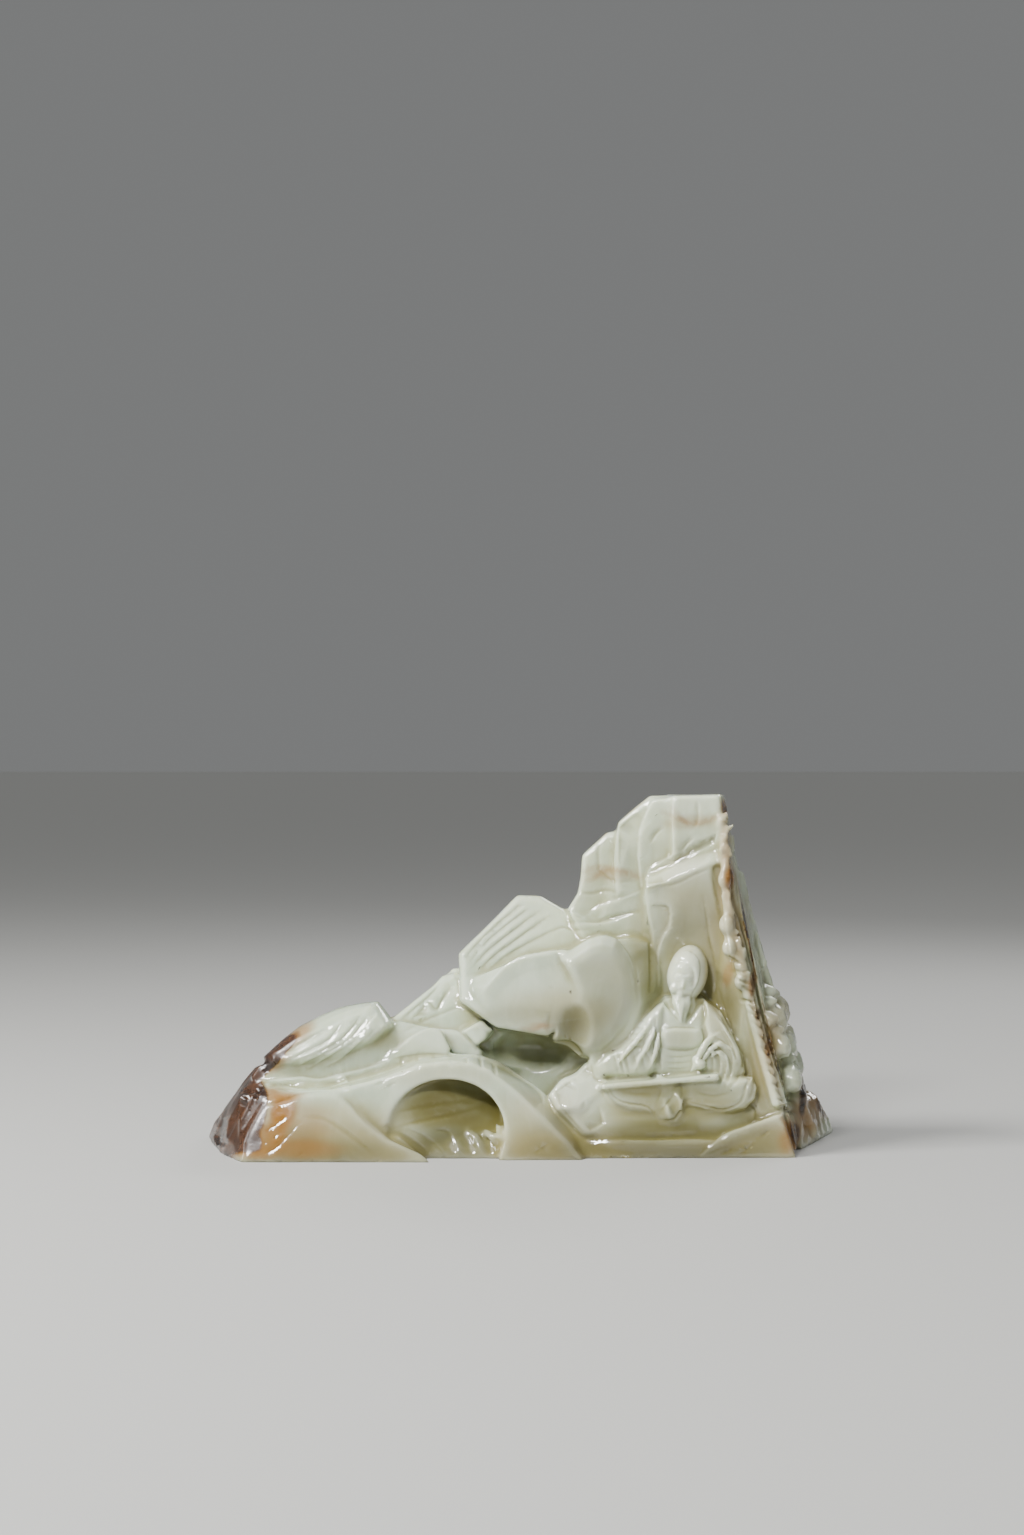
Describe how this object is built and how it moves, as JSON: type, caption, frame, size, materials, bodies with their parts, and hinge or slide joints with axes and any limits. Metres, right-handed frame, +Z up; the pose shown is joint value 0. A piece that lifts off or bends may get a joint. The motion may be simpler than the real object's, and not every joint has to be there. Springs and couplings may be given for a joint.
{
  "type": "jade boulder carving",
  "caption": "Polished pale jade boulder carved as a mountainside, with a hump-backed bridge over a stream, a seated scholar with a zither in a grotto, cliffs, and a pine on one end.",
  "frame": {"origin": "middle of the bounding box's underside, on the surface that the carving stands on", "axes": "+X to the viewer's right along the length, -Y the carved front, +Z up"},
  "size_m": [0.1674, 0.0632, 0.0913],
  "materials": {
    "jade": "polished pale celadon nephrite with russet skin at both ends"
  },
  "bodies": {
    "root": {"jade_boulder": "jade"}
  },
  "joints": []
}
